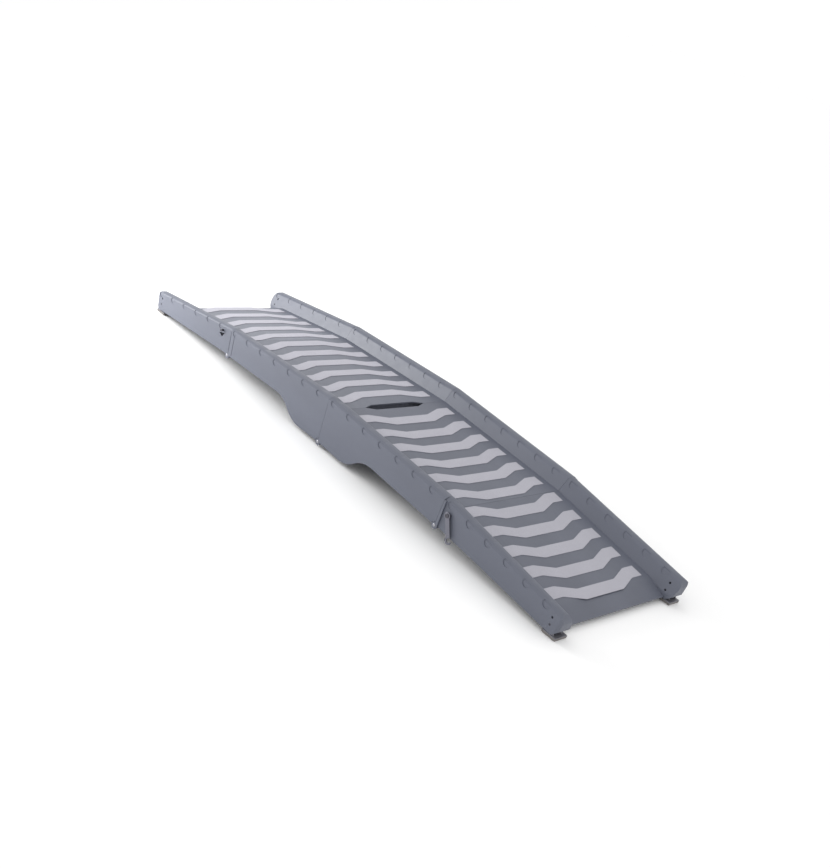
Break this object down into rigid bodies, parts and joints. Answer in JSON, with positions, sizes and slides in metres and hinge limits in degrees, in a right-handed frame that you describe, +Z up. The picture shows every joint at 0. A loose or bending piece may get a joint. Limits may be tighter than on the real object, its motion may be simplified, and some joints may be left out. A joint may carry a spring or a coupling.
{
  "type": "folding dog ramp",
  "caption": "Folding pet ramp of hinged moulded trays with side rails, anti-slip strips, swivelling feet and latch hooks.",
  "frame": {"origin": "on the floor under the middle of the open ramp", "axes": "+X across the ramp to its right side, +Y along it to the upper end, +Z up"},
  "size_m": [0.4332, 1.5538, 0.1255],
  "materials": {
    "tray": "moulded grey polypropylene, fine matt texture",
    "tread": "light grey anti-slip strip, fine grit",
    "steel": "zinc-plated steel",
    "bracket": "dark grey coated steel",
    "rubber_foot": "grey rubber"
  },
  "bodies": {
    "foot_lower_left": {"foot_bracket_lower_left": "bracket", "foot_pad_lower_left": "rubber_foot"},
    "foot_lower_right": {"foot_bracket_lower_right": "bracket", "foot_pad_lower_right": "rubber_foot"},
    "foot_upper_left": {"foot_bracket_upper_left": "bracket", "foot_pad_upper_left": "rubber_foot"},
    "foot_upper_right": {"foot_bracket_upper_right": "bracket", "foot_pad_upper_right": "rubber_foot"},
    "section_lower_end": {"foot_pin_lower_left": "steel", "foot_pin_lower_right": "steel", "hinge_pin_lower_left": "steel", "hinge_pin_lower_right": "steel", "latch_rivet_left": "steel", "latch_rivet_right": "steel", "latch_washer_left": "steel", "latch_washer_right": "steel", "section_lower_end": "tray", "strip_lower_end_1": "tread", "strip_lower_end_2": "tread", "strip_lower_end_3": "tread", "strip_lower_end_4": "tread", "strip_lower_end_5": "tread"},
    "section_upper_end": {"foot_pin_upper_left": "steel", "foot_pin_upper_right": "steel", "latch_catch_left": "steel", "latch_catch_right": "steel", "section_upper_end": "tray", "strip_upper_end_1": "tread", "strip_upper_end_2": "tread", "strip_upper_end_3": "tread", "strip_upper_end_4": "tread", "strip_upper_end_5": "tread"},
    "section_lower_middle": {"hinge_pin_centre_left": "steel", "hinge_pin_centre_right": "steel", "section_lower_middle": "tray", "strip_lower_middle_1": "tread", "strip_lower_middle_2": "tread", "strip_lower_middle_3": "tread", "strip_lower_middle_4": "tread", "strip_lower_middle_5": "tread", "strip_lower_middle_6": "tread"},
    "section_upper_middle": {"hinge_pin_upper_left": "steel", "hinge_pin_upper_right": "steel", "section_upper_middle": "tray", "strip_upper_middle_1": "tread", "strip_upper_middle_2": "tread", "strip_upper_middle_3": "tread", "strip_upper_middle_4": "tread", "strip_upper_middle_5": "tread", "strip_upper_middle_6": "tread"},
    "latch_hook_left": {"latch_hook_left": "steel"},
    "latch_hook_right": {"latch_hook_right": "steel"}
  },
  "joints": [
    {"name": "centre_fold", "type": "hinge", "parent": "section_upper_middle", "child": "section_lower_middle", "pos_m": [0, 0, 0.01041], "axis": [1, 0, 0], "range_deg": [0, 166.5]},
    {"name": "lower_fold", "type": "hinge", "parent": "section_lower_middle", "child": "section_lower_end", "pos_m": [0, -0.40922, 0.03658], "axis": [1, 0, 0], "range_deg": [0, 178.5]},
    {"name": "upper_fold", "type": "hinge", "parent": "section_upper_middle", "child": "section_upper_end", "pos_m": [0, 0.40922, 0.03658], "axis": [-1, 0, 0], "range_deg": [0, 178.5]},
    {"name": "foot_upper_left_swivel", "type": "hinge", "parent": "section_upper_end", "child": "foot_upper_left", "pos_m": [-0.18755, 0.75181, 0.027], "axis": [1, 0, 0], "range_deg": [-20, 30]},
    {"name": "foot_lower_left_swivel", "type": "hinge", "parent": "section_lower_end", "child": "foot_lower_left", "pos_m": [-0.18755, -0.75181, 0.027], "axis": [-1, 0, 0], "range_deg": [-20, 30]},
    {"name": "latch_hook_left_swing", "type": "hinge", "parent": "section_lower_end", "child": "latch_hook_left", "pos_m": [-0.214, -0.43657, 0.07624], "axis": [-1, 0, 0], "range_deg": [-25, 132]},
    {"name": "foot_upper_right_swivel", "type": "hinge", "parent": "section_upper_end", "child": "foot_upper_right", "pos_m": [0.18755, 0.75181, 0.027], "axis": [1, 0, 0], "range_deg": [-20, 30]},
    {"name": "foot_lower_right_swivel", "type": "hinge", "parent": "section_lower_end", "child": "foot_lower_right", "pos_m": [0.18755, -0.75181, 0.027], "axis": [-1, 0, 0], "range_deg": [-20, 30]},
    {"name": "latch_hook_right_swing", "type": "hinge", "parent": "section_lower_end", "child": "latch_hook_right", "pos_m": [0.214, -0.43657, 0.07624], "axis": [-1, 0, 0], "range_deg": [-25, 132]}
  ]
}
